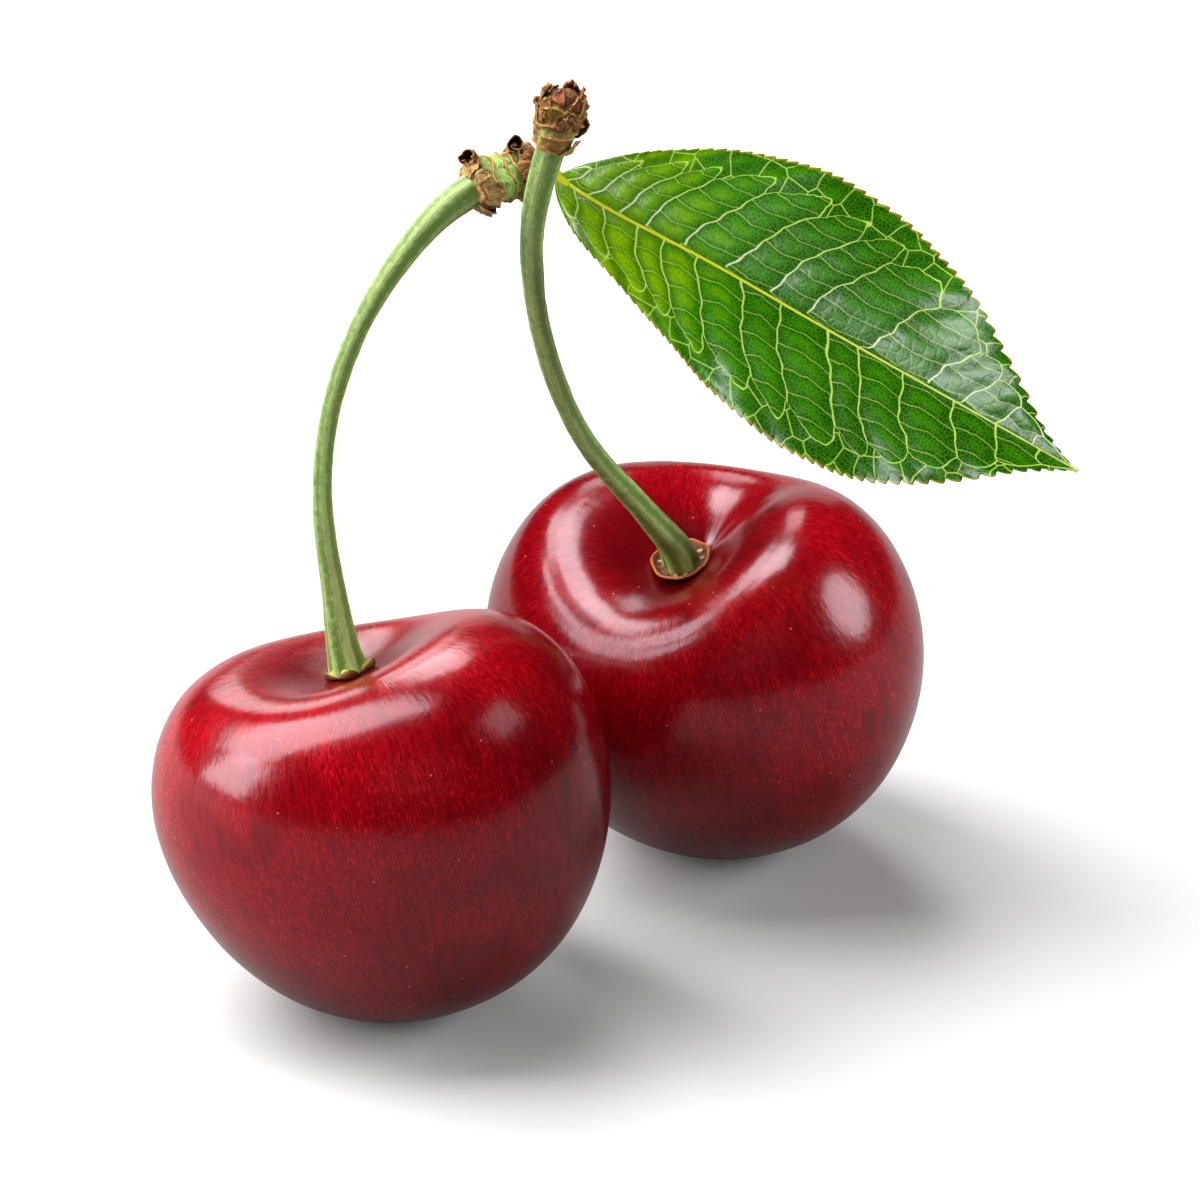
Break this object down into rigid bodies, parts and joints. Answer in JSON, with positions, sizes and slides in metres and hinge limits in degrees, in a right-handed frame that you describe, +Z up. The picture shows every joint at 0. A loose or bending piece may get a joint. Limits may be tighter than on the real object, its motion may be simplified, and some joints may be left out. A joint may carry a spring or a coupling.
{
  "type": "pair of cherries on stalks",
  "caption": "Dark red sweet cherries on green stalks that meet at woody knobs with dry bud scales, with a toothed green leaf.",
  "frame": {"origin": "on the surface that the fruits stand on, under the middle of the whole object's box", "axes": "+Z up, -Y towards the viewer in the front view, +X towards the tip of the leaf"},
  "size_m": [0.056, 0.0456, 0.0582],
  "materials": {
    "cherry_skin": "gloss",
    "stalk_green": "satin",
    "knob_bark": "matte",
    "dry_scale": "matte",
    "leaf_green": "satin"
  },
  "bodies": {
    "root": {"fruit_left": "cherry_skin", "fruit_right": "cherry_skin", "stalk_left": "stalk_green", "stalk_right": "stalk_green", "collar_left": "dry_scale", "collar_right": "dry_scale", "knob_left": "knob_bark", "knob_right": "knob_bark", "leaf": "leaf_green", "bud_scale_left_top": "dry_scale", "bud_scale_left_front": "dry_scale", "bud_scale_left_under": "dry_scale", "bud_scale_left_end": "dry_scale", "bud_scale_left_bud": "dry_scale", "bud_scale_right_base": "dry_scale", "bud_scale_right_outer": "dry_scale", "bud_scale_right_inner": "dry_scale", "bud_scale_right_front": "dry_scale", "bud_scale_right_tip": "dry_scale"}
  },
  "joints": []
}
